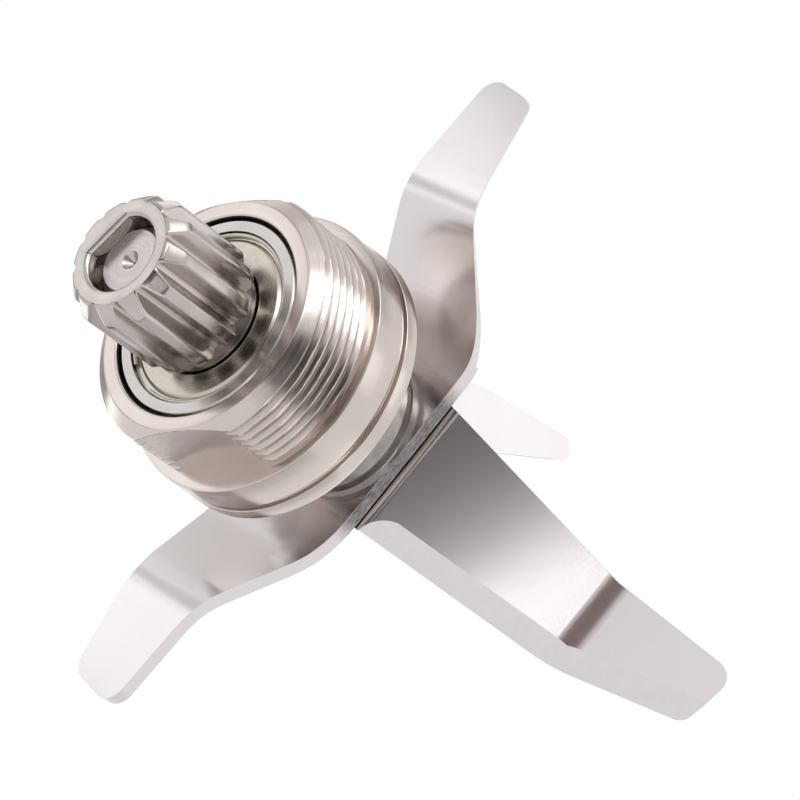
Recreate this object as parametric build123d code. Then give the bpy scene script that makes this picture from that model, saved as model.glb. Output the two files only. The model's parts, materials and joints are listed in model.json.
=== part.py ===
from build123d import *
import math
import os

# Blender blade assembly, in millimetres.
# The origin is on the spin axis at the housing's seat, and +Z points from the drive spline to the blades.

# Ball bearings
shaft_d = 8.0
lower_bearing_od = 22.0
lower_bearing_width = 7.0
lower_ball_d = 3.969
lower_ball_count = 7
upper_bearing_od = 16.0
upper_bearing_width = 5.0
upper_ball_d = 2.381
upper_ball_count = 10
inner_ring_share = 0.29
outer_ring_share = 0.29
race_clearance = 0.05
pocket_clearance = 0.09
bearing_corner = 0.4
cage_floor_t = 0.55
cage_width_share = 0.62
cage_hold_share = 0.22
shield_t = 0.3
shield_gap = 0.25
shield_step_in = 0.15
shield_slope = 0.35
snap_wire_d = 0.44
snap_wire_gap = 0.05
snap_wire_set_in = 0.16
snap_wire_gap_angle = 26.0

# Bearing housing
thread_od = 28.5
thread_length = 6.2
thread_pitch = 1.15
thread_depth = 0.6
thread_crest = 0.14
thread_root = 0.12
thread_run_out = 0.6
front_land = 1.5
front_chamfer = 1.6
across_flats = 25.4
flats_angle = -35.0
collar_od = 30.8
collar_band = 3.9
collar_groove_width = 0.7
collar_groove_depth = 0.5
rim_od = 31.0
rim_height = 2.1
bearing_recess = 0.3
bore_chamfer = 0.5
web_height = 2.6
web_bore_d = 13.6
neck_wall = 1.6
press_clearance = 0.01

# Shaft seal
seal_height = 4.5
seal_gap = 0.3
seal_case_t = 0.5
seal_lip_clearance = 0.05
seal_spring_wire = 0.6

# Shaft and the collar under the blades
sleeve_d = 11.0
running_gap = 0.5
collar_flange_d = 16.4
collar_flange_height = 4.5
slip_clearance = 0.02
spacer_d = 11.0
blade_flats = 6.4
stud_d = 6.0

# Drive spline
spline_od = 14.4
spline_root_d = 11.2
spline_length = 12.4
spline_teeth = 12
tooth_tip_width = 1.3
tooth_root_width = 2.6
spline_gap = 1.0
spline_boss_d = 11.4
spline_face_d = 11.6
spline_nose = 2.0
spline_mouth_chamfer = 0.9
shaft_recess = 1.6
drive_flat_depth = 0.9
drive_flat_angle = 100.0
shaft_end_chamfer = 0.7
centre_dimple_d = 2.0

# Blade strips
blade_t = 1.6
blade_corner_r = 2.4
bevel_width = 3.0
bevel_run_out = 2.0
edge_land = 0.15

# Lower strip, whose wings drop toward the housing and level out again
lower_hub_half = 8.4
lower_bend_angle = 36.5
lower_bend_skew = 9.0
lower_root_run = 13.0
lower_wing_run = 14.3
lower_tip_run = 12.7
lower_root_bend_r = 12.0
lower_tip_bend_r = 8.0
lower_edge_mid = 3.2
lower_edge_tip = 0.5
lower_back_mid = 7.5
lower_back_tip = 6.8
lower_edge_blend_r = 10.0

# Upper strip, whose wings rise from the hub, one sloping and one upright
upper_hub_half = 8.0
upper_wing_run = 24.8
upper_bend_r = 1.6
upper_tip_bend_r = 14.0
upper_tip_angle = 10.5
upper_edge_blend_r = 25.0
sloping_reach = 8.2
sloping_angle = 45.0
sloping_tip_run = 14.8
sloping_tip_rake = 1.1
sloping_edge_mid = 6.7
sloping_edge_tip = 2.8
sloping_back_mid = 4.5
sloping_back_tip = 4.5
sloping_corner_r = 1.8
sloping_bevel_start = 0.6
upright_reach = 10.1
upright_angle = 94.6
upright_skew = 26.0
upright_tip_run = 14.2
upright_edge_mid = 5.0
upright_edge_tip = -2.0
upright_back_mid = 3.1
upright_back_tip = 4.5
upright_corner_r = 1.1
upright_bevel_width = 1.5
upright_bevel_start = 5.0

# Washer and cap nut on top
washer_d = 11.6
washer_t = 1.0
nut_across_flats = 10.0
nut_height = 5.0
nut_dome_d = 9.4
nut_dome_height = 4.2
stud_end_gap = 0.8

# Heights along the axis, worked out from the sizes above
front_z = -(front_land + thread_length + thread_run_out)
collar_top = collar_band + collar_groove_width + rim_height
lower_bearing_z = front_z + bearing_recess
web_z = lower_bearing_z + lower_bearing_width
upper_bearing_z = web_z + web_height
upper_bearing_top = upper_bearing_z + upper_bearing_width
seal_z = upper_bearing_top + seal_gap
neck_top = seal_z + seal_height + seal_gap
flange_z = neck_top + running_gap
lower_blade_z = flange_z + collar_flange_height
upper_blade_z = lower_blade_z + blade_t
washer_z = upper_blade_z + blade_t
nut_z = washer_z + washer_t
stud_top = nut_z + nut_height + 1.0
spline_top = front_z - spline_gap
spline_bottom = spline_top - spline_length
shaft_bottom = spline_bottom + shaft_recess
shaft_r = shaft_d / 2

# Solids stand on their base, or also start at one side
base_up = (Align.CENTER, Align.CENTER, Align.MIN)
side_up = (Align.MIN, Align.CENTER, Align.MIN)


def ring(points):
    # A turned solid from (radius, height) points.
    return revolve(Plane.XZ * make_face(Polyline(*points, close=True)), Axis.Z)


def disc(diameter, bottom, height):
    return Pos(0, 0, bottom) * Cylinder(diameter / 2, height, align=base_up)


def sleeve(outside_d, inside_d, bottom, height):
    return disc(outside_d, bottom, height) - disc(inside_d, bottom, height)


def save(shape, name):
    shape.label = name
    export_step(shape, "parts/" + name + ".step")


def ball_bearing(name, bottom, outside_d, width, ball_d, count):
    # A deep-groove bearing with a shield and a snap wire on each side; returns its pieces by node name.
    outside_r = outside_d / 2
    wall = outside_r - shaft_r
    inner_r = shaft_r + wall * inner_ring_share
    outer_r = outside_r - wall * outer_ring_share
    pitch_r = (inner_r + outer_r) / 2
    middle = bottom + width / 2
    recess_r = outer_r + snap_wire_d + 2 * snap_wire_gap
    recess = snap_wire_d + shield_t + snap_wire_set_in
    groove = Pos(0, 0, middle) * Torus(pitch_r, ball_d / 2 + race_clearance)

    inner = sleeve(2 * inner_r, shaft_d + 2 * slip_clearance, bottom, width) - groove
    outer = disc(outside_d, bottom, width)
    outer = chamfer(outer.edges(), bearing_corner)
    outer = outer - disc(2 * outer_r, bottom, width) - groove
    outer = outer - disc(2 * recess_r, bottom, recess) - disc(2 * recess_r, bottom + width - recess, recess)

    balls = [Rot(0, 0, 360 * i / count) * Pos(pitch_r, 0, middle) * Sphere(ball_d / 2) for i in range(count)]
    cage_half = (outer_r - inner_r) / 2 * cage_width_share
    cage_floor = middle - ball_d / 2 - cage_floor_t
    cage_top = middle + ball_d * cage_hold_share
    cage = sleeve(2 * (pitch_r + cage_half), 2 * (pitch_r - cage_half), cage_floor, cage_top - cage_floor)
    for i in range(count):
        pocket = Pos(pitch_r, 0, middle) * Sphere(ball_d / 2 + pocket_clearance)
        cage = cage - Rot(0, 0, 360 * i / count) * pocket

    seat = bottom + recess - shield_t
    rise = shield_t * 0.9
    inside_r = inner_r + shield_gap
    rim_r = recess_r - snap_wire_gap
    step_r = outer_r - shield_step_in
    shield = ring(
        [
            (rim_r, seat),
            (rim_r, seat + shield_t),
            (step_r, seat + shield_t),
            (step_r - shield_slope, seat + shield_t - rise),
            (inside_r, seat + shield_t - rise),
            (inside_r, seat - rise),
            (step_r - shield_slope, seat - rise),
            (step_r, seat),
        ]
    )
    wire_r = recess_r - snap_wire_d / 2 - snap_wire_gap
    wire_z = seat - snap_wire_d / 2 - slip_clearance
    sweep_angle = 360 - snap_wire_gap_angle
    wire_face = Plane.XZ * Pos(wire_r, wire_z) * Circle(snap_wire_d / 2)
    wire = Rot(0, 0, snap_wire_gap_angle) * revolve(wire_face, Axis.Z, sweep_angle)
    flip = Pos(0, 0, 2 * middle) * Rot(180, 0, 0)
    return {
        name + "_outer_ring": outer,
        name + "_inner_ring": inner,
        name + "_balls": Compound(children=balls),
        name + "_cage": cage,
        name + "_lower_shield": shield,
        name + "_lower_snap_wire": wire,
        name + "_upper_shield": flip * shield,
        name + "_upper_snap_wire": flip * wire,
    }


def thread_groove():
    # One vee groove along a helix. It fades in on the front chamfer and stops short of the collar.
    thread_r = thread_od / 2
    start_z = front_z + thread_pitch / 2
    path = Pos(0, 0, start_z) * Helix(thread_pitch, -thread_run_out - start_z, thread_r)
    half_root = thread_root / 2
    half_mouth = (thread_pitch - thread_crest) / 2
    over = thread_crest / 4
    half_over = half_mouth + (half_mouth - half_root) * over / thread_depth
    points = [(-thread_depth, half_root), (over, half_over), (over, -half_over), (-thread_depth, -half_root)]
    profile = Plane(path @ 0, x_dir=(1, 0, 0), z_dir=path % 0) * make_face(Polyline(*points, close=True))
    return sweep(profile, path=path, is_frenet=True)


def bearing_housing():
    thread_r = thread_od / 2
    groove_r = collar_od / 2 - collar_groove_depth
    neck_r = upper_bearing_od / 2 + neck_wall
    rim_z = collar_band + collar_groove_width
    edge = 0.4
    body = ring(
        [
            (0, front_z),
            (thread_r - front_chamfer, front_z),
            (thread_r, front_z + front_chamfer * 0.8),
            (thread_r, 0),
            (collar_od / 2, 0),
            (collar_od / 2, collar_band),
            (groove_r, collar_band),
            (groove_r, rim_z),
            (rim_od / 2, rim_z),
            (rim_od / 2, collar_top - edge),
            (rim_od / 2 - edge, collar_top),
            (neck_r, collar_top),
            (neck_r, neck_top),
            (0, neck_top),
        ]
    )
    body = body - thread_groove()
    flat = Pos(across_flats / 2, 0, front_z) * Box(thread_od, 2 * thread_od, -front_z, align=side_up)
    for turn in (flats_angle, flats_angle + 180):
        body = body - Rot(0, 0, turn) * flat
    lower_bore = lower_bearing_od + 2 * press_clearance
    upper_bore = upper_bearing_od + 2 * press_clearance
    body = body - disc(lower_bore, front_z, web_z - front_z)
    mouth = Cone(lower_bore / 2 + bore_chamfer, lower_bore / 2, bore_chamfer, align=base_up)
    body = body - Pos(0, 0, front_z) * mouth
    body = body - disc(web_bore_d, web_z, web_height)
    return body - disc(upper_bore, upper_bearing_z, neck_top - upper_bearing_z)


def seal_pieces():
    case_r = upper_bearing_od / 2
    lip_r = sleeve_d / 2 + seal_lip_clearance
    top = seal_z + seal_height
    wall_r = case_r - seal_case_t
    leg_r = lip_r + 0.75
    case = ring(
        [
            (wall_r, seal_z),
            (case_r, seal_z),
            (case_r, top),
            (leg_r, top),
            (leg_r, top - seal_case_t),
            (wall_r, top - seal_case_t),
        ]
    )
    under = top - seal_case_t
    lip = ring(
        [
            (leg_r, under),
            (wall_r, under),
            (wall_r, under - 0.7),
            (leg_r + 0.1, under - 0.7),
            (leg_r - 0.1, under - 1.5),
            (leg_r, seal_z + 0.7),
            (lip_r + 0.25, seal_z + 0.4),
            (lip_r, seal_z + 0.8),
            (lip_r + 0.25, under - 1.2),
        ]
    )
    spring = Pos(0, 0, seal_z + 1.3) * Torus(leg_r + seal_spring_wire / 2 + 0.03, seal_spring_wire / 2)
    return {"seal_case": case, "seal_lip": lip, "seal_spring": spring}


def blade_collar():
    flange_r = collar_flange_d / 2
    sleeve_r = sleeve_d / 2
    lip = 0.5
    body = ring(
        [
            (shaft_r + slip_clearance, upper_bearing_top),
            (sleeve_r, upper_bearing_top),
            (sleeve_r, flange_z),
            (flange_r - lip, flange_z),
            (flange_r, flange_z + lip),
            (flange_r, lower_blade_z - 3 * lip),
            (flange_r - lip, lower_blade_z - 2.4 * lip),
            (flange_r - lip, lower_blade_z - 1.4 * lip),
            (flange_r, lower_blade_z - lip),
            (flange_r, lower_blade_z),
            (shaft_r + slip_clearance, lower_blade_z),
        ]
    )
    return body


def flats_cut(width, bottom, height):
    # Two blocks that leave a shaft of the given width between its flats.
    block = Pos(width / 2, 0, bottom) * Box(shaft_d, 2 * shaft_d, height, align=side_up)
    return block + Rot(0, 0, 180) * block


def drive_shaft():
    shoulder = washer_z - 0.2
    body = disc(shaft_d, shaft_bottom, shoulder - shaft_bottom)
    body = chamfer(body.edges().group_by(Axis.Z)[0], shaft_end_chamfer)
    body = body + disc(stud_d, shoulder, stud_top - shoulder)
    body = chamfer(body.edges().group_by(Axis.Z)[-1], 0.5)
    body = body - flats_cut(blade_flats, lower_blade_z, shoulder - lower_blade_z)
    key_x = shaft_r - drive_flat_depth
    key = Pos(key_x, 0, shaft_bottom) * Box(shaft_d, shaft_d, spline_top - shaft_bottom, align=side_up)
    dimple_r = centre_dimple_d / 2
    dimple = Pos(0, 0, shaft_bottom) * Cone(dimple_r, 0, dimple_r, align=base_up)
    return body - Rot(0, 0, drive_flat_angle) * key - dimple


def drive_spline():
    root_r = spline_root_d / 2
    tip_r = spline_od / 2
    face_r = spline_face_d / 2
    half_tip = tooth_tip_width / 2
    half_root = tooth_root_width / 2
    inside = root_r * 0.9
    flanks = [(inside, -half_root), (tip_r, -half_tip), (tip_r, half_tip), (inside, half_root)]
    tooth = make_face(Polyline(*flanks, close=True))
    outline = Circle(root_r)
    for i in range(spline_teeth):
        outline = outline + Rot(0, 0, 360 * i / spline_teeth) * tooth
    body = Pos(0, 0, spline_bottom) * extrude(outline, spline_length)
    nose = ring(
        [
            (0, spline_bottom),
            (face_r, spline_bottom),
            (tip_r + 0.1, spline_bottom + spline_nose),
            (tip_r + 0.1, spline_top - 0.6),
            (tip_r - 0.5, spline_top),
            (0, spline_top),
        ]
    )
    body = body & nose
    body = body + disc(spline_boss_d, spline_top, lower_bearing_z - spline_top)
    bore_r = shaft_r + slip_clearance
    bore = disc(2 * bore_r, spline_bottom, lower_bearing_z - spline_bottom)
    key_x = shaft_r - drive_flat_depth + slip_clearance
    key = Pos(key_x, 0, spline_bottom) * Box(shaft_d, shaft_d, spline_length, align=side_up)
    mouth = Cone(bore_r + spline_mouth_chamfer, bore_r, spline_mouth_chamfer, align=base_up)
    return body - (bore - Rot(0, 0, drive_flat_angle) * key) - Pos(0, 0, spline_bottom) * mouth


def bend_trim(turn, inside):
    # The lower face's bend radius, and how far the bend reaches from its corner.
    radius = inside + blade_t if turn > 0 else inside
    return radius, radius * math.tan(math.radians(abs(turn)) / 2)


def bent_edges(runs, bends):
    # The lower and upper edges of a bent strip's section, from (0, 0) along +X.
    # Runs lie between bend corners on the lower face, and bends are (turn up, inside radius).
    x, z, heading = 0.0, 0.0, 0.0
    lower, upper = [], []

    def lifted(point, angle):
        return (point[0] - blade_t * math.sin(angle), point[1] + blade_t * math.cos(angle))

    for i, run in enumerate(runs):
        before = bend_trim(*bends[i - 1])[1] if i > 0 else 0.0
        after = bend_trim(*bends[i])[1] if i < len(bends) else 0.0
        length = run - before - after
        end = (x + length * math.cos(heading), z + length * math.sin(heading))
        lower.append(Line((x, z), end))
        upper.append(Line(lifted((x, z), heading), lifted(end, heading)))
        x, z = end
        if i < len(bends):
            turn = math.radians(bends[i][0])
            radius = math.copysign(bend_trim(*bends[i])[0], turn)
            cx = x - radius * math.sin(heading)
            cz = z + radius * math.cos(heading)
            stops = [heading + turn * share for share in (0, 0.5, 1)]
            arc = [(cx + radius * math.sin(a), cz - radius * math.cos(a)) for a in stops]
            lower.append(ThreePointArc(*arc))
            upper.append(ThreePointArc(*[lifted(p, a) for p, a in zip(arc, stops)]))
            heading += turn
            x, z = arc[-1]
    return lower, upper


def bent_sheet(runs, bends, half_span):
    # The strip itself, spanning half_span each way in Y.
    lower, upper = bent_edges(runs, bends)
    ends = [Line(lower[0] @ 0, upper[0] @ 0), Line(lower[-1] @ 1, upper[-1] @ 1)]
    return extrude(Plane.XZ * make_face(lower + upper + ends), half_span, both=True)


def space_above(runs, bends, half_span, top):
    # All the room over the strip's lower face, up to a height.
    lower, upper = bent_edges(runs, bends)
    start = lower[0] @ 0
    end = lower[-1] @ 1
    walls = Polyline((start.X, start.Y), (start.X, top), (end.X, top), (end.X, end.Y))
    return extrude(Plane.XZ * make_face(lower + [walls]), half_span, both=True)


def shaft_hole(bottom):
    hole = disc(shaft_d + 2 * slip_clearance, bottom, blade_t)
    return hole - flats_cut(blade_flats + 2 * slip_clearance, bottom, blade_t)


def lower_blade():
    # Two wings a half turn apart. The +X wing's cutting edge is on the +Y side, ground on the upper face.
    # Each wing is made with its bend lines along Y, then turned by their skew.
    bend = math.radians(lower_bend_angle)
    root = lower_root_run
    middle = root + lower_wing_run * math.cos(bend)
    tip = middle + lower_tip_run
    spare = lower_hub_half
    runs = [root * math.cos(math.radians(lower_bend_skew)) + spare, lower_wing_run, lower_tip_run + spare]
    bends = [(-lower_bend_angle, lower_root_bend_r), (lower_bend_angle, lower_tip_bend_r)]
    sheet = Pos(-spare, 0, 0) * bent_sheet(runs, bends, 3 * lower_hub_half)
    outline = make_face(
        Polyline(
            (-0.5, lower_hub_half),
            (root, lower_hub_half),
            (middle, lower_edge_mid),
            (tip, lower_edge_tip),
            (tip, -lower_back_tip),
            (middle, -lower_back_mid),
            (root, -lower_hub_half),
            (-0.5, -lower_hub_half),
            close=True,
        )
    )
    outline = fillet(outline.vertices().group_by(Axis.X)[-1], blade_corner_r)
    side_corners = [v for v in outline.vertices() if root - 0.1 < v.X < middle + 0.1]
    outline = fillet(side_corners, lower_edge_blend_r)
    depth = 2 * lower_wing_run
    unskewed = Rot(0, 0, lower_bend_skew)
    wing = sheet & unskewed * Pos(0, 0, -depth) * extrude(outline, 2 * depth)
    over = Pos(-spare, 0, 0) * space_above(runs, bends, 3 * lower_hub_half, depth)
    edge = [(root, lower_hub_half + bevel_run_out), (middle, lower_edge_mid), (tip, lower_edge_tip)]
    edge = [Vector(*point).rotate(Axis.Z, lower_bend_skew) for point in edge]
    past_tip = edge[2] + (edge[2] - edge[1]) * 0.3
    wing = wing - ground_above(over, edge[0], edge[1])
    wing = wing - ground_above(over, edge[1], past_tip)
    wing = Rot(0, 0, -lower_bend_skew) * wing
    blade = wing + Rot(0, 0, 180) * wing
    return Pos(0, 0, lower_blade_z) * blade - shaft_hole(lower_blade_z)


def ground_above(over, start, end):
    # What grinding takes off above a cutting edge: the room over the sheet, swept up along the bend lines.
    along = (end - start).normalized()
    slope = (blade_t - edge_land) / bevel_width
    outside = 0.3
    lane = Pos(start.X, 0, 0) * Box(end.X - start.X, 80, 80, align=(Align.MIN, Align.CENTER, Align.CENTER))
    edge_plane = Plane(start, x_dir=along, z_dir=(along.Y, -along.X, 0))
    face = section(over & lane, section_by=edge_plane)
    travel = Vector(0, -1, slope)
    cut = extrude(face, 2 * bevel_width * travel.length, dir=travel.normalized())
    return Pos(0, outside, edge_land - outside * slope) * cut


def ground_below(plane, start, end, width, curved_start):
    # A wedge that bevels the lower face of a flat stretch along its cutting edge, in that stretch's plane.
    # A curved start is where the grinding wheel runs in.
    along = (end - start).normalized()
    length = (end - start).length
    edge_height = blade_t - edge_land
    slope = edge_height / width
    profile = make_face(
        Polyline(
            (-2, edge_height),
            (0, edge_height),
            (width + 1 / slope, -1),
            (-2, -1),
            close=True,
        )
    )
    inward = Vector(along.Y, -along.X, 0)
    wedge = extrude(Plane(start, x_dir=inward, z_dir=-along) * profile, -length)
    if curved_start:
        outside = -0.5 * width
        inside = 1.02 * width
        run_in = 1.4 * width
        arc = ThreePointArc((0, outside), (0.3 * width, 0.6 * width), (run_in, inside))
        sides = Polyline((run_in, inside), (length + 1, inside), (length + 1, outside), (0, outside))
        lane = Plane(start, x_dir=along, z_dir=(0, 0, -1)) * make_face([arc, sides])
        wedge = wedge & extrude(lane, 3 * blade_t, both=True)
    return plane * wedge


def upper_wing(
    reach, angle, skew, tip_run, rake, edge_mid, edge_tip, back_mid, back_tip, corner_r, bevel, bevel_start
):
    # One wing along +X from its root bend, with the cutting edge on the +Y side, ground on the lower face.
    turn = math.radians(skew)
    bend = math.radians(angle)
    corner = reach * math.cos(turn)
    wing_run = upper_wing_run * math.cos(turn)
    tip_turn = math.radians(upper_tip_angle)
    bends = [(angle, upper_bend_r), (upper_tip_angle, upper_tip_bend_r)]
    sheet = bent_sheet([corner, wing_run, 2 * tip_run], bends, 3 * upper_hub_half)
    wing_plane = Plane((corner, 0, 0), x_dir=(0, -1, 0), z_dir=(-math.sin(bend), 0, math.cos(bend)))
    tip_plane = Plane(wing_plane.location * Pos(0, wing_run, 0) * Rot(upper_tip_angle, 0, 0))

    def flat(side, along):
        # From the strip's own directions to the plane of the bent wing.
        across = along * math.sin(turn) + side * math.cos(turn)
        return Vector(-across, along * math.cos(turn) - side * math.sin(turn))

    def seen(point):
        # A point past the tip bend, as the wing's plane sees it.
        past = point.Y - wing_run
        return Vector(point.X, wing_run + past * math.cos(tip_turn)) if past > 0 else point

    half = upper_hub_half
    root = half / math.cos(turn)
    tip = upper_wing_run + tip_run
    edge = [flat(edge_mid, upper_wing_run), flat(edge_tip, tip)]
    back = [flat(-back_tip, tip + rake), flat(-back_mid, upper_wing_run)]
    points = [Vector(-root, -reach), Vector(-root, 0), *edge, *back, Vector(root, 0), Vector(root, -reach)]
    outline = make_face(Polyline(*[seen(point) for point in points], close=True))
    outline = fillet(outline.vertices().sort_by(Axis.Y)[-2:], corner_r)
    edge_corner = outline.vertices().sort_by_distance(seen(edge[0]))[0]
    outline = fillet(edge_corner, upper_edge_blend_r)
    wing = sheet & extrude(wing_plane * outline, 3 * reach, both=True)
    keep = corner - bend_trim(*bends[0])[1] - 0.2
    wing = wing - Box(2 * keep, 20 * reach, 4 * blade_t)
    first = flat(half, 0) + (edge[0] - flat(half, 0)).normalized() * bevel_start
    lift = Vector(0, wing_run)
    past_tip = edge[1] + (edge[1] - edge[0]) * 0.3
    wing = wing - ground_below(wing_plane, first, edge[0], bevel, True)
    wing = wing - ground_below(tip_plane, edge[0] - lift, past_tip - lift, bevel, False)
    return Rot(0, 0, -skew) * wing


def upper_blade():
    sloping = upper_wing(
        reach=sloping_reach,
        angle=sloping_angle,
        skew=0,
        tip_run=sloping_tip_run,
        rake=sloping_tip_rake,
        edge_mid=sloping_edge_mid,
        edge_tip=sloping_edge_tip,
        back_mid=sloping_back_mid,
        back_tip=sloping_back_tip,
        corner_r=sloping_corner_r,
        bevel=bevel_width,
        bevel_start=sloping_bevel_start,
    )
    upright = upper_wing(
        reach=upright_reach,
        angle=upright_angle,
        skew=upright_skew,
        tip_run=upright_tip_run,
        rake=0,
        edge_mid=upright_edge_mid,
        edge_tip=upright_edge_tip,
        back_mid=upright_back_mid,
        back_tip=upright_back_tip,
        corner_r=upright_corner_r,
        bevel=upright_bevel_width,
        bevel_start=upright_bevel_start,
    )
    turn = math.radians(upright_skew)
    sloping_end = sloping_reach - bend_trim(sloping_angle, upper_bend_r)[1]
    upright_end = upright_reach * math.cos(turn) - bend_trim(upright_angle, upper_bend_r)[1]
    half = upper_hub_half
    far = half / math.cos(turn)
    # The upright wing points along +Y and the sloping wing along -Y
    corner_a = Vector(upright_end, far).rotate(Axis.Z, 90 - upright_skew)
    corner_b = Vector(upright_end, -far).rotate(Axis.Z, 90 - upright_skew)
    hub = make_face(
        Polyline(
            (half, -sloping_end),
            (half, 0),
            (corner_b.X, corner_b.Y),
            (corner_a.X, corner_a.Y),
            (-half, 0),
            (-half, -sloping_end),
            close=True,
        )
    )
    blade = extrude(hub, blade_t) + Rot(0, 0, -90) * sloping + Rot(0, 0, 90) * upright
    return Pos(0, 0, upper_blade_z) * blade - shaft_hole(upper_blade_z)


def cap_nut():
    hexagon = RegularPolygon(nut_across_flats / 2, 6, major_radius=False)
    body = Pos(0, 0, nut_z) * extrude(hexagon, nut_height)
    corner_r = nut_across_flats / math.sqrt(3)
    bevel = corner_r - nut_across_flats / 2
    top = nut_z + nut_height
    turned = ring(
        [
            (0, nut_z),
            (corner_r - 0.3, nut_z),
            (corner_r, nut_z + 0.2),
            (corner_r, top - bevel * 0.6),
            (corner_r - bevel, top),
            (0, top),
        ]
    )
    body = body & turned
    dome_r = nut_dome_d / 2
    dome = disc(nut_dome_d, top - 0.5, nut_dome_height + 0.5)
    dome = fillet(dome.edges().group_by(Axis.Z)[-1], min(dome_r, nut_dome_height) * 0.9)
    return body + dome - disc(stud_d + 2 * slip_clearance, nut_z, stud_top + stud_end_gap - nut_z)


os.makedirs("parts", exist_ok=True)
pieces = {
    "bearing_housing": bearing_housing(),
    "bearing_spacer": sleeve(spacer_d, shaft_d + 2 * slip_clearance, web_z, web_height),
    "drive_shaft": drive_shaft(),
    "drive_spline": drive_spline(),
    "blade_collar": blade_collar(),
    "lower_blade": lower_blade(),
    "upper_blade": upper_blade(),
    "blade_washer": sleeve(washer_d, stud_d + 2 * slip_clearance, washer_z, washer_t),
    "cap_nut": cap_nut(),
}
pieces.update(seal_pieces())
pieces.update(
    ball_bearing(
        "lower_bearing",
        bottom=lower_bearing_z,
        outside_d=lower_bearing_od,
        width=lower_bearing_width,
        ball_d=lower_ball_d,
        count=lower_ball_count,
    )
)
pieces.update(
    ball_bearing(
        "upper_bearing",
        bottom=upper_bearing_z,
        outside_d=upper_bearing_od,
        width=upper_bearing_width,
        ball_d=upper_ball_d,
        count=upper_ball_count,
    )
)
for name, shape in pieces.items():
    save(shape, name)
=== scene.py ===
import bpy
import bmesh
import json
import math
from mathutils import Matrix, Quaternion, Vector


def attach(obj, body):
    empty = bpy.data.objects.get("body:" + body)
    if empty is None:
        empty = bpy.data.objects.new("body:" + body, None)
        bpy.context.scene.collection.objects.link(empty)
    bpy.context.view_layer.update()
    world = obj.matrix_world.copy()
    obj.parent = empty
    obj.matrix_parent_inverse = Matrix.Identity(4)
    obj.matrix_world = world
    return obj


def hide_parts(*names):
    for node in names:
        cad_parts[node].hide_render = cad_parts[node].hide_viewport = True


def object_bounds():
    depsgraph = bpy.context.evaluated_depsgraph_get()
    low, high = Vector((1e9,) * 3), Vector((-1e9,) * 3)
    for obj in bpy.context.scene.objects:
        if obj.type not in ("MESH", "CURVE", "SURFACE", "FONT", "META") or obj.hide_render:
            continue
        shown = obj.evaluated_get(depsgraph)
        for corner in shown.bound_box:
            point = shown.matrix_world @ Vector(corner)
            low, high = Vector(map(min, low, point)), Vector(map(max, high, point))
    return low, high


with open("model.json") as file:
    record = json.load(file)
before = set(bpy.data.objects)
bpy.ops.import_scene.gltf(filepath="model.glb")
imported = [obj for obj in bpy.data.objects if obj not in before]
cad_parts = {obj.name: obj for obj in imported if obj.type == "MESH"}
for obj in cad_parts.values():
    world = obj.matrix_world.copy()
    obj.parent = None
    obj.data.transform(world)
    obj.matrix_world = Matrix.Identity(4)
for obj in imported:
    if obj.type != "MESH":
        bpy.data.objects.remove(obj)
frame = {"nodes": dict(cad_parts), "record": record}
cadLow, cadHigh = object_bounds()
nodes = frame["nodes"]
mm = 0.001
print("frame loaded:", len(nodes), "nodes")

# Marks on the surfaces: detail and roughness of their noise, and how deep the bump takes them
marks = {
    "clouds": {"detail": 2.0, "rough": 0.55},
    "rings": {"detail": 4.0, "rough": 0.55, "depth": 0.02 * mm},
    "grain": {"detail": 3.0, "rough": 0.6, "depth": 0.01 * mm},
    "streaks": {"detail": 3.0, "rough": 0.65},
    "skin": {"detail": 3.0, "rough": 0.55, "depth": 0.02 * mm},
}


def newTree(name):
    mat = bpy.data.materials.new(name)
    mat.use_nodes = True
    tree = mat.node_tree
    tree.nodes.clear()
    out = tree.nodes.new("ShaderNodeOutputMaterial")
    shader = tree.nodes.new("ShaderNodeBsdfPrincipled")
    tree.links.new(shader.outputs["BSDF"], out.inputs["Surface"])
    return mat, tree, shader


def addNode(tree, kind, **values):
    node = tree.nodes.new(kind)
    for key, value in values.items():
        setattr(node, key, value)
    return node


def mathNode(tree, operation, first, second=None):
    # numbers are set on the sockets, and outputs of other nodes are linked to them
    node = addNode(tree, "ShaderNodeMath", operation=operation)
    for socket, value in zip(node.inputs, (first, second)):
        if value is None:
            continue
        if isinstance(value, (int, float)):
            socket.default_value = value
        else:
            tree.links.new(value, socket)
    return node.outputs[0]


def product(tree, first, second):
    return mathNode(tree, "MULTIPLY", first, second)


def larger(tree, first, second):
    return mathNode(tree, "MAXIMUM", first, second)


def above(tree, value, limit):
    return mathNode(tree, "GREATER_THAN", value, limit)


def below(tree, value, limit):
    return mathNode(tree, "LESS_THAN", value, limit)


def objectPoint(tree):
    return addNode(tree, "ShaderNodeTexCoord").outputs["Object"]


def splitAxes(tree, vector):
    node = addNode(tree, "ShaderNodeSeparateXYZ")
    tree.links.new(vector, node.inputs[0])
    return node.outputs


def joinAxes(tree, *values):
    node = addNode(tree, "ShaderNodeCombineXYZ")
    for socket, value in zip(node.inputs, values):
        tree.links.new(value, socket)
    return node.outputs[0]


def stretch(tree, point, scale):
    node = addNode(tree, "ShaderNodeMapping")
    node.inputs["Scale"].default_value = scale
    tree.links.new(point, node.inputs["Vector"])
    return node.outputs["Vector"]


def lathePoint(tree, point, along, around):
    # radius, height and a little of the angle, so that noise on it makes turned rings
    axes = splitAxes(tree, point)
    length = addNode(tree, "ShaderNodeVectorMath", operation="LENGTH")
    tree.links.new(joinAxes(tree, axes["X"], axes["Y"]), length.inputs[0])
    radius = product(tree, length.outputs["Value"], along)
    height = product(tree, axes["Z"], along)
    angle = mathNode(tree, "ARCTAN2", axes["Y"], axes["X"])
    return joinAxes(tree, radius, height, product(tree, angle, around))


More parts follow.
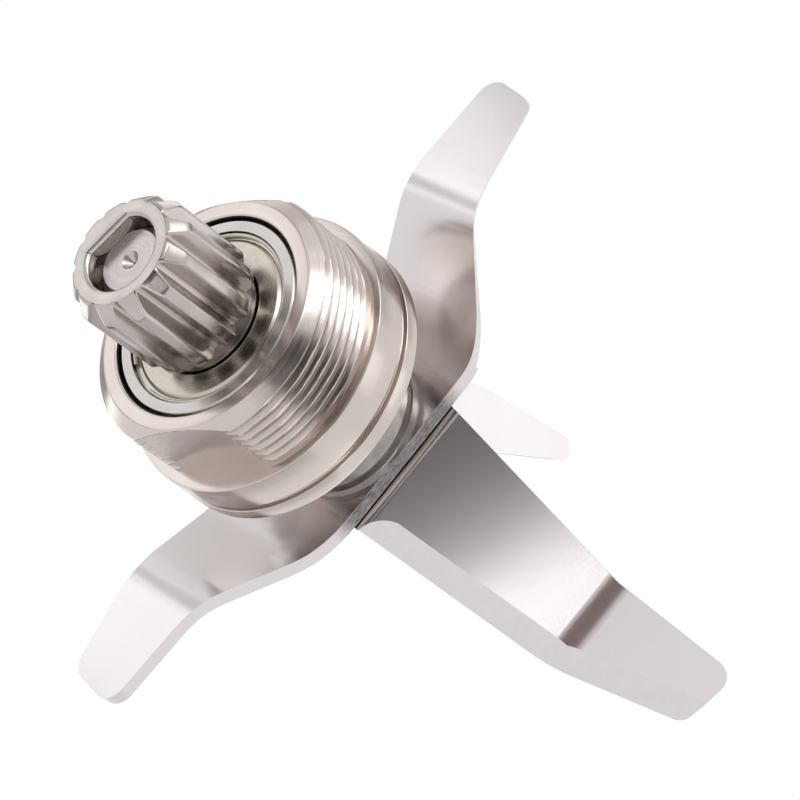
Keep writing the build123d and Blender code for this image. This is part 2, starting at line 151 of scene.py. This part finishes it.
def noise(tree, point, scale, kind):
    node = addNode(tree, "ShaderNodeTexNoise")
    node.inputs["Scale"].default_value = scale
    node.inputs["Detail"].default_value = marks[kind]["detail"]
    node.inputs["Roughness"].default_value = marks[kind]["rough"]
    tree.links.new(point, node.inputs["Vector"])
    return node.outputs["Fac"]


def ramp(tree, fac, low, high, start=0.3, end=0.7):
    node = addNode(tree, "ShaderNodeValToRGB")
    node.color_ramp.elements[0].position = start
    node.color_ramp.elements[1].position = end
    node.color_ramp.elements[0].color = (*low, 1)
    node.color_ramp.elements[1].color = (*high, 1)
    tree.links.new(fac, node.inputs["Fac"])
    return node.outputs["Color"]


def blend(tree, fac, colour, other):
    node = addNode(tree, "ShaderNodeMix", data_type="RGBA")
    tree.links.new(fac, node.inputs["Factor"])
    tree.links.new(colour, node.inputs["A"])
    node.inputs["B"].default_value = (*other, 1)
    return node.outputs["Result"]


def span(tree, fac, low, high, start=0.25, end=0.75):
    # start and end as given hold most of a noise
    node = addNode(tree, "ShaderNodeMapRange")
    node.inputs["From Min"].default_value = start
    node.inputs["From Max"].default_value = end
    node.inputs["To Min"].default_value = low
    node.inputs["To Max"].default_value = high
    tree.links.new(fac, node.inputs["Value"])
    return node.outputs["Result"]


def fade(tree, value, start, end):
    return span(tree, value, 0.0, 1.0, start, end)


def mixShader(tree, fac, first, second):
    node = addNode(tree, "ShaderNodeMixShader")
    tree.links.new(fac, node.inputs["Fac"])
    tree.links.new(first, node.inputs[1])
    tree.links.new(second, node.inputs[2])
    return node.outputs["Shader"]


def bump(tree, shader, height, strength, kind):
    node = addNode(tree, "ShaderNodeBump")
    node.inputs["Strength"].default_value = strength
    node.inputs["Distance"].default_value = marks[kind]["depth"]
    tree.links.new(height, node.inputs["Height"])
    tree.links.new(node.outputs["Normal"], shader.inputs["Normal"])


def grooveShade(tree, colour, look):
    # a vertex value from 0 to 1 paints shade into grooves, and from 1 to 2 paints a dark shadow into a
    # gap
    if "grooveShadeColour" not in look:
        return colour
    depth = addNode(tree, "ShaderNodeAttribute", attribute_name="paintedShade").outputs["Fac"]
    colour = blend(tree, depth, colour, look["grooveShadeColour"])
    return blend(tree, mathNode(tree, "SUBTRACT", depth, 1.0), colour, look["gapShadowColour"])


def metalTree(name, look):
    # metal whose colour drifts slowly between two tones
    mat, tree, shader = newTree(name)
    shader.inputs["Metallic"].default_value = 1.0
    point = objectPoint(tree)
    clouds = noise(tree, point, look["cloudScale"], "clouds")
    return mat, tree, shader, point, ramp(tree, clouds, look["dark"], look["light"])


def dress(tree, shader, colour, pattern, look, kind):
    # the pattern varies the roughness and stands a little proud
    tree.links.new(colour, shader.inputs["Base Color"])
    tree.links.new(span(tree, pattern, look["smooth"], look["rough"]), shader.inputs["Roughness"])
    bump(tree, shader, pattern, look["bump"], kind)


def turnedMetal(name, look):
    # lathe finish: fine rings follow radius and height
    mat, tree, shader, point, colour = metalTree(name, look)
    turned = lathePoint(tree, point, look["ringScale"], look["ringWander"])
    rings = noise(tree, turned, 1.0, "rings")
    dress(tree, shader, grooveShade(tree, colour, look), rings, look, "rings")
    return mat


def rolledMetal(name, look):
    # rolled, pressed or milled metal: a fine grain in every direction
    mat, tree, shader, point, colour = metalTree(name, look)
    grain = noise(tree, point, look["grainScale"], "grain")
    dress(tree, shader, grooveShade(tree, colour, look), grain, look, "grain")
    return mat


def rubberSkin(name, look):
    mat, tree, shader = newTree(name)
    grain = noise(tree, objectPoint(tree), look["grainScale"], "skin")
    dress(tree, shader, ramp(tree, grain, look["dark"], look["light"]), grain, look, "skin")
    return mat


def stripMetal(name, look):
    # rolled strip: satin faces, and sheared or ground edges told apart by the way they face
    mat, tree, shader, point, colour = metalTree(name, look)
    faces = splitAxes(tree, addNode(tree, "ShaderNodeTexCoord").outputs["Normal"])
    place = splitAxes(tree, point)
    sideways, along, level = [mathNode(tree, "ABSOLUTE", faces[axis]) for axis in "XYZ"]
    lowerStrip = below(tree, place["Z"], look["splitZ"])
    upperStrip = above(tree, place["Z"], look["splitZ"])

    # torn edges, dark as rough sheared steel and as painted shade: at the hub on the lower strip, on the
    # upright wing and at the upper strip's back
    lowerEdge = product(tree, lowerStrip, below(tree, level, look["edgeLevel"]))
    fromHub = mathNode(tree, "ABSOLUTE", place["X"])
    hub = fade(tree, fromHub, look["hubHalf"], look["hubHalf"] - look["hubFade"])
    upright = above(tree, place["Y"], 0.0)
    uprightEdge = product(tree, upright, above(tree, sideways, look["edgeSide"]))
    backEdge = below(tree, faces["X"], -look["edgeSide"])
    upperEdge = product(tree, upperStrip, larger(tree, uprightEdge, backEdge))
    edge = larger(tree, product(tree, lowerEdge, hub), upperEdge)
    shear = noise(tree, stretch(tree, point, look["shearScale"]), 1.0, "grain")
    tornAndShaded = product(tree, edge, span(tree, shear, look["shearLow"], look["shearHigh"]))
    colour = blend(tree, tornAndShaded, colour, look["shearAndShadeDark"])

    # painted shadow on the underside of the upper strip, in the gap beside the strip that it lies on
    seamShadow = product(tree, upperStrip, fade(tree, faces["Z"], look["seamShadowStart"], look["seamShadowEnd"]))
    colour = blend(tree, seamShadow, colour, look["seamShadowColour"])

    # ground bevels: fine marks across the cutting edges
    sloping = product(tree, upperStrip, below(tree, place["Y"], 0.0))
    upperBevel = product(tree, sloping, above(tree, sideways, look["bevelTilt"]))
    rising = product(tree, lowerStrip, above(tree, faces["Z"], look["bevelUp"]))
    lowerBevel = product(tree, rising, above(tree, along, look["bevelTilt"]))
    bevels = []
    for bevel, scale in ((upperBevel, look["grindUpper"]), (lowerBevel, look["grindLower"])):
        streaks = noise(tree, stretch(tree, point, scale), 1.0, "streaks")
        bevels.append(product(tree, bevel, span(tree, streaks, 0.0, 1.0)))
    ground = larger(tree, *bevels)
    scratched = product(tree, ground, look["grindShare"])
    tree.links.new(blend(tree, scratched, colour, look["grindDark"]), shader.inputs["Base Color"])

    grain = noise(tree, point, look["grainScale"], "grain")
    rough = span(tree, grain, look["smooth"], look["rough"])
    rough = mathNode(tree, "SUBTRACT", rough, product(tree, upperStrip, look["upperSmooth"]))
    rough = mathNode(tree, "ADD", rough, product(tree, edge, look["shearRough"]))
    rough = mathNode(tree, "ADD", rough, product(tree, ground, look["grindRough"]))
    tree.links.new(rough, shader.inputs["Roughness"])
    bump(tree, shader, grain, look["bump"], "grain")
    return mat


finishes = {
    "housing_metal": turnedMetal("warmNickel", {
        "dark": (0.575, 0.51, 0.475), "light": (0.655, 0.59, 0.555), "cloudScale": 90,
        "ringScale": 5200, "ringWander": 0.6, "smooth": 0.16, "rough": 0.26, "bump": 0.25,
        # painted shade in the thread's grooves, and painted shadow in the gap at the bore mouth
        "grooveShadeColour": (0.42, 0.37, 0.34), "gapShadowColour": (0.02, 0.018, 0.016),
    }),
    "shaft_steel": turnedMetal("turnedSteel", {
        "dark": (0.48, 0.445, 0.435), "light": (0.56, 0.52, 0.51), "cloudScale": 160,
        "ringScale": 6000, "ringWander": 0.4, "smooth": 0.2, "rough": 0.34, "bump": 0.2,
    }),
    "spline_steel": rolledMetal("millSteel", {
        "dark": (0.44, 0.405, 0.385), "light": (0.54, 0.50, 0.475), "cloudScale": 220,
        "grainScale": 2600, "smooth": 0.15, "rough": 0.25, "bump": 0.2,
        # painted shade in the grooves between teeth, and painted shadow in the bore and on the boss
        "grooveShadeColour": (0.50, 0.455, 0.43), "gapShadowColour": (0.05, 0.045, 0.04),
    }),
    "blade_steel": stripMetal("satinStainless", {
        "dark": (0.672, 0.637, 0.642), "light": (0.712, 0.677, 0.682), "cloudScale": 70,
        "grainScale": 5200, "smooth": 0.165, "rough": 0.195, "upperSmooth": 0.04, "bump": 0.012,
        "splitZ": 18.29 * mm, "hubHalf": 10.0 * mm, "hubFade": 2.5 * mm,
        "edgeLevel": 0.45, "edgeSide": 0.6,
        "shearScale": (1500, 1500, 5200), "shearLow": 0.45, "shearHigh": 1.0,
        # the dark of the torn edges is partly rough steel and partly painted shade
        "shearAndShadeDark": (0.08, 0.07, 0.066), "shearRough": 0.16,
        # painted shadow in the gap under the upper strip
        "seamShadowStart": -0.80, "seamShadowEnd": -0.92, "seamShadowColour": (0.06, 0.05, 0.047),
        "bevelTilt": 0.15, "bevelUp": 0.2, "grindUpper": (70, 900, 900), "grindLower": (900, 70, 900),
        "grindShare": 0.16, "grindDark": (0.45, 0.42, 0.42), "grindRough": 0.05,
    }),
    "nut_steel": rolledMetal("polishedStainless", {
        "dark": (0.55, 0.54, 0.53), "light": (0.63, 0.62, 0.61), "cloudScale": 140,
        "grainScale": 3000, "smooth": 0.1, "rough": 0.2, "bump": 0.12,
    }),
    "bearing_steel": turnedMetal("groundRing", {
        "dark": (0.48, 0.455, 0.44), "light": (0.56, 0.535, 0.52), "cloudScale": 160,
        "ringScale": 9000, "ringWander": 0.3, "smooth": 0.18, "rough": 0.28, "bump": 0.2,
    }),
    "ball_steel": rolledMetal("polishedBall", {
        "dark": (0.6, 0.6, 0.6), "light": (0.66, 0.66, 0.66), "cloudScale": 300,
        "grainScale": 4000, "smooth": 0.04, "rough": 0.09, "bump": 0.03,
    }),
    "cage_steel": rolledMetal("pressedCage", {
        "dark": (0.38, 0.36, 0.33), "light": (0.48, 0.46, 0.42), "cloudScale": 300,
        "grainScale": 4000, "smooth": 0.3, "rough": 0.42, "bump": 0.25,
    }),
    "shield_steel": turnedMetal("pressedShield", {
        "dark": (0.47, 0.44, 0.385), "light": (0.57, 0.535, 0.475), "cloudScale": 200,
        "ringScale": 4200, "ringWander": 0.5, "smooth": 0.2, "rough": 0.32, "bump": 0.25,
    }),
    "seal_rubber": rubberSkin("sealRubber", {
        "dark": (0.018, 0.018, 0.018), "light": (0.035, 0.034, 0.033), "grainScale": 1800,
        "smooth": 0.5, "rough": 0.7, "bump": 0.3,
    }),
}

# The collar under the strips is darker than the shaft as painted shade, with coarser turning marks
collarShadedFinish = turnedMetal("collarShadedSteel", {
    "dark": (0.26, 0.24, 0.225), "light": (0.42, 0.395, 0.375), "cloudScale": 260,
    "ringScale": 3600, "ringWander": 1.2, "smooth": 0.14, "rough": 0.3, "bump": 0.5,
})

for part in frame["record"]["subparts"]:
    piece = nodes[part["node"]]
    onCollar = part["node"] == "blade_collar"
    piece.data.materials.clear()
    piece.data.materials.append(collarShadedFinish if onCollar else finishes[part["material_slot"]])
print("finishes set:", len(finishes) + 1)


def shadedVert(mesh, shade, place, shadeAmount):
    vert = mesh.verts.new([c * mm for c in place])
    vert[shade] = shadeAmount
    return vert


def closeRows(mesh, rows):
    # smooth faces between each row and the next, closed both ways
    for k, row in enumerate(rows):
        beside = rows[(k + 1) % len(rows)]
        for i in range(len(row)):
            j = (i + 1) % len(row)
            mesh.faces.new((row[i], beside[i], beside[j], row[j])).smooth = True
    bmesh.ops.recalc_face_normals(mesh, faces=mesh.faces)


def meshObject(name, mesh, mat):
    data = bpy.data.meshes.new(name)
    mesh.to_mesh(data)
    mesh.free()
    data.materials.append(mat)
    piece = bpy.data.objects.new(name, data)
    bpy.context.scene.collection.objects.link(piece)
    return piece


def held(value):
    return min(max(value, 0.0), 1.0)


# The housing again, with its thread and eased edges: sizes in millimetres, as the CAD has them
housing = {
    "boreR": 11.01, "mouth": 0.22, "frontZ": -8.3, "frontR": 12.65,
    "threadR": 14.25, "threadStart": -7.02, "seatZ": 0.0, "collarR": 15.4, "bandTop": 3.9,
    "grooveR": 14.9, "rimZ": 4.6, "rimR": 15.5, "rimTop": 6.7, "rimEdge": 0.4,
    "neckR": 9.6, "neckTop": 11.7, "upperBoreR": 8.01, "webTop": 1.6, "webR": 6.8, "webZ": -1.0,
    "pitch": 1.15, "threadDepth": 0.6, "halfMouth": 0.505, "halfRoot": 0.06,
    "helixStart": -7.725, "helixEnd": -0.6, "helixFade": 0.08,
    "flatHalf": 12.7, "flatAngle": -35.0, "slack": 0.001,
    "edgeR": 0.14, "edgeSteps": 3, "edgeShare": 0.4, "noseLead": 0.3,
    # vertex value and reach of the painted shadow at the bore mouth
    "gapShade": 2.0, "gapShare": 0.4,
    "aroundSteps": 432, "turnSteps": 110, "sharpAngle": 32,
}


def roundedPath(points, radius, steps, share):
    # closed (r, z) outline with every corner softened, by a share of the shorter side at most
    path = []
    for i, point in enumerate(points):
        here = Vector(point)
        before = Vector(points[i - 1]) - here
        after = Vector(points[(i + 1) % len(points)]) - here
        cut = min(radius, before.length * share, after.length * share)
        start = here + before.normalized() * cut
        end = here + after.normalized() * cut
        for k in range(steps + 1):
            t = k / steps
            path.append(start.lerp(here, t).lerp(here.lerp(end, t), t))
    return path


def housingPath(h):
    # the turned outline, with close steps along the thread
    corners = [
        (h["boreR"], h["webZ"]), (h["boreR"], h["frontZ"] + h["mouth"]),
        (h["boreR"] + h["mouth"], h["frontZ"]), (h["frontR"], h["frontZ"]),
        (h["threadR"], h["threadStart"]), (h["threadR"], h["seatZ"]),
        (h["collarR"], h["seatZ"]), (h["collarR"], h["bandTop"]),
        (h["grooveR"], h["bandTop"]), (h["grooveR"], h["rimZ"]),
        (h["rimR"], h["rimZ"]), (h["rimR"], h["rimTop"] - h["rimEdge"]),
        (h["rimR"] - h["rimEdge"], h["rimTop"]), (h["neckR"], h["rimTop"]),
        (h["neckR"], h["neckTop"]), (h["upperBoreR"], h["neckTop"]),
        (h["upperBoreR"], h["webTop"]), (h["webR"], h["webTop"]), (h["webR"], h["webZ"]),
    ]
    outline = roundedPath(corners, h["edgeR"], h["edgeSteps"], h["edgeShare"])
    threadLength = h["seatZ"] - h["threadStart"]
    path = []
    for i, point in enumerate(outline):
        after = outline[(i + 1) % len(outline)]
        path.append(point)
        outside = point.x > h["frontR"] - h["noseLead"]
        onThread = outside and h["frontZ"] <= point.y < h["seatZ"] and after.y <= h["seatZ"]
        steps = int((after.y - point.y) / threadLength * h["turnSteps"])
        if onThread and steps > 1:
            path += [point.lerp(after, k / steps) for k in range(1, steps)]
    return path


def threadCut(z, angle, h):
    # how far the vee groove of the nearest turn goes under the crest, fading at both ends
    share = angle / (2 * math.pi)
    turns = round((z - h["helixStart"]) / h["pitch"] - share)
    centre = h["helixStart"] + h["pitch"] * (turns + share)
    vee = (h["halfMouth"] - abs(z - centre)) / (h["halfMouth"] - h["halfRoot"])
    toEnd = min(h["helixEnd"] - centre, centre - h["helixStart"])
    return h["threadDepth"] * held(vee) * held(toEnd / h["helixFade"])


def housingMesh(h):
    path = housingPath(h)
    turn = math.radians(h["flatAngle"])
    gapShadowR = h["boreR"] + h["mouth"] * h["gapShare"]
    mesh = bmesh.new()
    shade = mesh.verts.layers.float.new("paintedShade")
    rows = []
    for k in range(h["aroundSteps"]):
        angle = 2 * math.pi * k / h["aroundSteps"]
        row = []
        for r, z in path:
            # painted shadow in the gap at the bore mouth, and painted shade in the thread's grooves by
            # their depth
            shadeAmount = h["gapShade"] if r < gapShadowR and z < h["webZ"] else 0.0
            if h["frontZ"] < z < h["seatZ"] and r > h["frontR"]:
                cut = threadCut(z, angle, h)
                shadeAmount = max(cut - h["threadR"] + r, 0.0) / h["threadDepth"]
                r = min(r, h["threadR"] - cut)
            across = r * math.cos(angle - turn)
            along = r * math.sin(angle - turn)
            belowSeat = z < h["seatZ"] + h["slack"] and r < h["threadR"] + h["slack"]
            if belowSeat and abs(across) > h["flatHalf"]:
                across = math.copysign(h["flatHalf"], across)  # the two flats
                shadeAmount = 0.0
            x = across * math.cos(turn) - along * math.sin(turn)
            y = across * math.sin(turn) + along * math.cos(turn)
            row.append(shadedVert(mesh, shade, (x, y, z), shadeAmount))
        rows.append(row)
    closeRows(mesh, rows)
    return mesh


housingTurned = meshObject("housingTurned", housingMesh(housing), finishes["housing_metal"])
housingTurned.data.set_sharp_from_angle(angle=math.radians(housing["sharpAngle"]))
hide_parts("bearing_housing")
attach(housingTurned, "housing")
print("housing with thread:", len(housingTurned.data.polygons), "faces")


# The drive spline again, with eased teeth: sizes in millimetres, as the CAD has them
spline = {
    "teeth": 12, "tipR": 7.2, "rootR": 5.6, "halfTip": 0.65, "halfRoot": 1.3, "flankR": 5.04,
    "bottom": -21.7, "top": -9.3, "faceR": 5.8, "nose": 2.0, "noseR": 7.3, "noseEase": 0.3,
    "backR": 6.7, "backEdge": 0.6, "backEase": 0.12, "bossR": 5.7, "bossTop": -8.02,
    "boreR": 4.02, "keyHalf": 3.12, "keyAngle": 100.0, "keyView": 0.1, "lip": 0.5,
    "faceEdge": 0.14, "faceDrop": 0.01, "faceSlack": 0.05,
    # vertex values of painted shadow and painted shade
    "boreShade": 1.6, "boreDark": 3.0, "lipShade": 1.2, "backShade": 1.5, "sunkShade": 1.5,
    "perTooth": 40, "easeRounds": 3, "lipSteps": 5,
    "noseSteps": 14, "noseSpan": 1.15, "sideSteps": 10, "backSteps": 4, "sharpAngle": 50,
}


def toothRadius(s):
    # radius of the toothed outline at each step of one tooth, with the corners eased
    rootToTip = s["halfRoot"] - s["halfTip"]
    flank = s["tipR"] - s["flankR"]
    radii = []
    for k in range(s["perTooth"]):
        turn = abs((k + 0.5) / s["perTooth"] - 0.5) * 2 * math.pi / s["teeth"]
        slope = math.tan(turn)
        rise = (s["halfRoot"] - s["flankR"] * slope) / (rootToTip + flank * slope)
        reach = s["flankR"] + flank * rise
        radii.append(min(max(reach / math.cos(turn), s["rootR"]), s["tipR"]))
    for k in range(s["easeRounds"]):
        after = radii[1:] + radii[:1]
        radii = [(radii[i - 1] + 2 * r + after[i]) / 4 for i, r in enumerate(radii)]
    return radii


def softLeast(first, second, ease):
    # the smaller of two, with an eased corner where they meet
    near = max(ease - abs(first - second), 0.0) / ease
    return min(first, second) - near * near * ease / 4


def evenSteps(start, end, count):
    return [start + (end - start) * i / count for i in range(1, count + 1)]


def splinePath(s, angle, tooth, heights):
    # radius, height and painted shade down the bore, over the lip and face, and up the tooth to the boss
    low, top = s["bottom"], s["top"]
    towardKey = math.cos(angle - math.radians(s["keyAngle"]))
    bore = min(s["boreR"], s["keyHalf"] / towardKey) if towardKey > s["keyView"] else s["boreR"]
    path = [
        # painted shadow inside the bore, and a little at the foot of the lip
        (bore, s["bossTop"], s["boreShade"]), (bore, low + s["boreDark"], s["boreShade"]),
        (bore, low + s["lip"], s["lipShade"]),
    ]
    for t in evenSteps(0.0, math.pi / 2, s["lipSteps"]):
        lipR = bore + s["lip"] * (1 - math.cos(t))
        path.append((lipR, low + s["lip"] * (1 - math.sin(t)), 0.0))
    face = min(s["faceR"], tooth + s["faceSlack"])
    path.append((face - s["faceEdge"] * 2, low, 0.0))
    path.append((face - s["faceEdge"], low + s["faceDrop"], 0.0))
    for z in heights:
        cone = s["faceR"] + (z - low) * (s["noseR"] - s["faceR"]) / s["nose"]
        back = s["backR"] + (s["noseR"] - s["backR"]) * (top - z) / s["backEdge"]
        r = softLeast(softLeast(tooth, cone, s["noseEase"]), back, s["backEase"])
        # painted shade, deeper towards the floor of each groove
        sunk = (min(s["tipR"], cone) - r) / (s["tipR"] - s["rootR"])
        path.append((r, z, held(sunk * s["sunkShade"])))
    # painted shadow on the back face and the boss
    path.append((s["bossR"], top, s["backShade"]))
    path.append((s["bossR"], s["bossTop"], s["boreShade"]))
    return path


def splineMesh(s):
    noseEnd = s["bottom"] + s["nose"] * s["noseSpan"]
    sideEnd = s["top"] - s["backEdge"]
    heights = evenSteps(s["bottom"], noseEnd, s["noseSteps"])
    heights += evenSteps(noseEnd, sideEnd, s["sideSteps"])
    heights += evenSteps(sideEnd, s["top"], s["backSteps"])
    radii = toothRadius(s) * s["teeth"]
    mesh = bmesh.new()
    shade = mesh.verts.layers.float.new("paintedShade")
    rows = []
    for k, tooth in enumerate(radii):
        angle = 2 * math.pi * (k + 0.5) / len(radii) - math.pi / s["teeth"]
        row = []
        for r, z, shadeAmount in splinePath(s, angle, tooth, heights):
            place = (r * math.cos(angle), r * math.sin(angle), z)
            row.append(shadedVert(mesh, shade, place, shadeAmount))
        rows.append(row)
    closeRows(mesh, rows)
    return mesh


splineToothed = meshObject("splineToothed", splineMesh(spline), finishes["spline_steel"])
splineToothed.data.set_sharp_from_angle(angle=math.radians(spline["sharpAngle"]))
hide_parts("drive_spline")
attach(splineToothed, "rotor")
print("drive spline:", len(splineToothed.data.polygons), "faces")


# Pale floor just under the lowest point, seen from above only, with soft lamps, and with cards
# and a wall that only reflections show: places and sizes in metres, tilt in degrees
studio = {
    "floor": {"size": 3.0, "gap": 0.6 * mm, "colour": (0.93, 0.93, 0.93), "drift": 0.015,
              "grainScale": 40, "rough": 0.8},
    "fill": 0.72, "cardRough": 0.9,
    # name, place, size, level, tilt
    "lamps": [
        ("frontStrip", (0.017, -0.3965, -0.2985), (0.18, 0.030), 1.65, -22),
        ("threadLamp", (-0.34, -0.05, -0.37), (0.16, 0.26), 3.0, 0),
        ("noseLamp", (-0.473, -0.083, -0.19), (0.44, 0.20), 1.4, 0),
        ("sideNoseLamp", (0.22, -0.42, -0.21), (0.10, 0.10), 1.5, 0),
        ("mouthLamp", (0.13, -0.325, -0.345), (0.08, 0.08), 2.0, 0),
        ("leftTipLamp", (0.033, 0.107, -0.095), (0.06, 0.06), 0.4, 0),
        ("rightTipLamp", (-0.019, 0.107, -0.095), (0.045, 0.08), 0.35, 0),
        ("leftRimLamp", (-0.465, 0.499, 0.157), (0.34, 0.22), 0.6, 0),
        ("rightRimLamp", (0.478, 0.495, 0.129), (0.40, 0.24), 0.9, 0),
        ("wingLamp", (-0.36, -0.40, 0.30), (0.26, 0.30), 0.4, 0),
        ("topLamp", (0.10, -0.10, 0.70), (0.50, 0.50), 0.8, 0),
    ],
    # name, place, size, colour, tilt
    "cards": [
        ("bandCard", (0.0, -0.452, -0.227), (0.26, 0.15), (0.27, 0.195, 0.185), 0),
        ("rootCard", (0.02, -0.3447, -0.3493), (0.34, 0.115), (0.15, 0.13, 0.127), -22),
        ("threadCard", (-0.12, -0.21, -0.44), (0.17, 0.22), (0.03, 0.026, 0.023), 0),
        ("underCard", (0.0, 0.015, -0.50), (0.16, 0.75), (0.11, 0.10, 0.095), 0),
        ("leftWingCard", (-0.36, 0.42, -0.20), (0.20, 0.34), (0.9, 0.86, 0.84), 0),
        ("leftBendCard", (-0.175, 0.42, -0.385), (0.17, 0.24), (0.45, 0.45, 0.44), 0),
        ("rightBendCard", (0.22, 0.42, -0.33), (0.08, 0.24), (0.40, 0.40, 0.39), 0),
    ],
    # each span of the wall: start and end in degrees, and the height of its foot
    "wall": {"radius": 0.7, "low": 0.10, "high": 0.62, "step": 6,
             "spans": [(-60, -14, 0.26), (-14, 30, 0.10), (61, 119, 0.10), (148, 190, 0.10)],
             "dark": (0.34, 0.325, 0.315), "pale": (1.0, 0.99, 0.98), "darkTo": 0.15, "paleFrom": 0.9},
}


def floorFinish(f):
    # pale and matt from above; clear from below and to reflections, which see the white round the object
    mat, tree, shader = newTree("paleFloor")
    grain = noise(tree, objectPoint(tree), f["grainScale"], "clouds")
    low = tuple(c - f["drift"] for c in f["colour"])
    tree.links.new(ramp(tree, grain, low, f["colour"]), shader.inputs["Base Color"])
    shader.inputs["Roughness"].default_value = f["rough"]
    clear = addNode(tree, "ShaderNodeBsdfTransparent").outputs["BSDF"]
    rays = addNode(tree, "ShaderNodeLightPath").outputs
    mirrored = larger(tree, rays["Is Glossy Ray"], rays["Is Transmission Ray"])
    underside = addNode(tree, "ShaderNodeNewGeometry").outputs["Backfacing"]
    mixed = mixShader(tree, larger(tree, mirrored, underside), shader.outputs["BSDF"], clear)
    tree.links.new(mixed, tree.nodes["Material Output"].inputs["Surface"])
    return mat


def cardFinish(name, colour):
    mat, _, shader = newTree(name)
    shader.inputs["Base Color"].default_value = (*colour, 1)
    shader.inputs["Roughness"].default_value = studio["cardRough"]
    return mat


def wallFinish(w):
    # dark at the foot and pale above, which gives the metal a horizon
    mat, tree, shader = newTree("wallPaint")
    height = splitAxes(tree, objectPoint(tree))["Z"]
    rise = fade(tree, height, w["low"], w["high"])
    paint = ramp(tree, rise, w["dark"], w["pale"], w["darkTo"], w["paleFrom"])
    tree.links.new(paint, shader.inputs["Base Color"])
    shader.inputs["Roughness"].default_value = studio["cardRough"]
    return mat


def flatCard(name, size, mat):
    mesh = bmesh.new()
    bmesh.ops.create_grid(mesh, x_segments=1, y_segments=1, size=0.5)
    bmesh.ops.scale(mesh, vec=(*size, 1), verts=mesh.verts)
    card = meshObject(name, mesh, mat)
    return card


def curvedWall(w):
    # a wall round the back and sides, with gaps for the rim lamps
    mesh = bmesh.new()
    for start, end, foot in w["spans"]:
        steps = int((end - start) / w["step"])
        rows = []
        for k in range(steps + 1):
            angle = math.radians(start + (end - start) * k / steps)
            x, y = w["radius"] * math.cos(angle), w["radius"] * math.sin(angle)
            rows.append([mesh.verts.new((x, y, foot)), mesh.verts.new((x, y, w["high"]))])
        for row, beside in zip(rows, rows[1:]):
            mesh.faces.new((row[0], row[1], beside[1], beside[0]))
    wall = meshObject("wall", mesh, wallFinish(w))
    return wall


def mirrorOnly(card):
    # seen in reflections alone, and it casts no shadow
    card.visible_camera = False
    card.visible_diffuse = False
    card.visible_shadow = False


def setFacing(thing, place, tilt):
    # put in its place, facing the object, and tilted about its own axis
    turn = (-Vector(place)).to_track_quat("-Z", "Y")
    thing.location = place
    thing.rotation_euler = (turn @ Quaternion((0, 0, 1), math.radians(tilt))).to_euler()


floorSize = studio["floor"]["size"]
floor = flatCard("floor", (floorSize, floorSize), floorFinish(studio["floor"]))
floor.location = (0, 0, cadLow.z - studio["floor"]["gap"])

for name, place, size, colour, tilt in studio["cards"]:
    card = flatCard(name, size, cardFinish(name, colour))
    setFacing(card, place, tilt)
    mirrorOnly(card)
mirrorOnly(curvedWall(studio["wall"]))

for name, place, size, level, tilt in studio["lamps"]:
    data = bpy.data.lights.new(name, "AREA")
    data.shape = "RECTANGLE"
    data.size, data.size_y = size
    data.energy = level * math.pi * size[0] * size[1]  # the same level at any size
    lamp = bpy.data.objects.new(name, data)
    setFacing(lamp, place, tilt)
    lamp.visible_camera = False
    bpy.context.scene.collection.objects.link(lamp)

# The world is white to the camera and in reflections, and lights the object a little less
world = bpy.data.worlds.new("studioWorld")
bpy.context.scene.world = world
world.use_nodes = True
worldTree = world.node_tree
worldTree.nodes.clear()
worldOut = addNode(worldTree, "ShaderNodeOutputWorld")
lights = []
for strength in (studio["fill"], 1.0):
    light = addNode(worldTree, "ShaderNodeBackground")
    light.inputs["Color"].default_value = (1, 1, 1, 1)
    light.inputs["Strength"].default_value = strength
    lights.append(light.outputs[0])
rays = addNode(worldTree, "ShaderNodeLightPath").outputs
seen = larger(worldTree, rays["Is Camera Ray"], rays["Is Glossy Ray"])
seen = larger(worldTree, seen, rays["Is Transmission Ray"])
worldTree.links.new(mixShader(worldTree, seen, *lights), worldOut.inputs["Surface"])
bpy.context.scene.view_settings.view_transform = "Standard"
print("studio set:", len(studio["lamps"]), "lamps,", len(studio["cards"]), "cards")


# Camera as the photograph has it, below the seat and looking up at the drive end: place and
# sensor in millimetres, turn in degrees
cameraView = {
    "place": (-13.62, -259.79, -236.33), "turn": (-148.473, -34.495, -139.187),
    "lens": 157.5, "sensor": 36.0, "clipStart": 10.0 * mm,
}
cameraData = bpy.data.cameras.new("photoCamera")
cameraData.sensor_width = cameraView["sensor"]
cameraData.sensor_fit = "HORIZONTAL"
cameraData.lens = cameraView["lens"]
cameraData.clip_start = cameraView["clipStart"]
camera = bpy.data.objects.new("photoCamera", cameraData)
camera.location = Vector(cameraView["place"]) * mm
camera.rotation_euler = [math.radians(v) for v in cameraView["turn"]]
bpy.context.scene.collection.objects.link(camera)
bpy.context.scene.camera = camera
print("camera set")
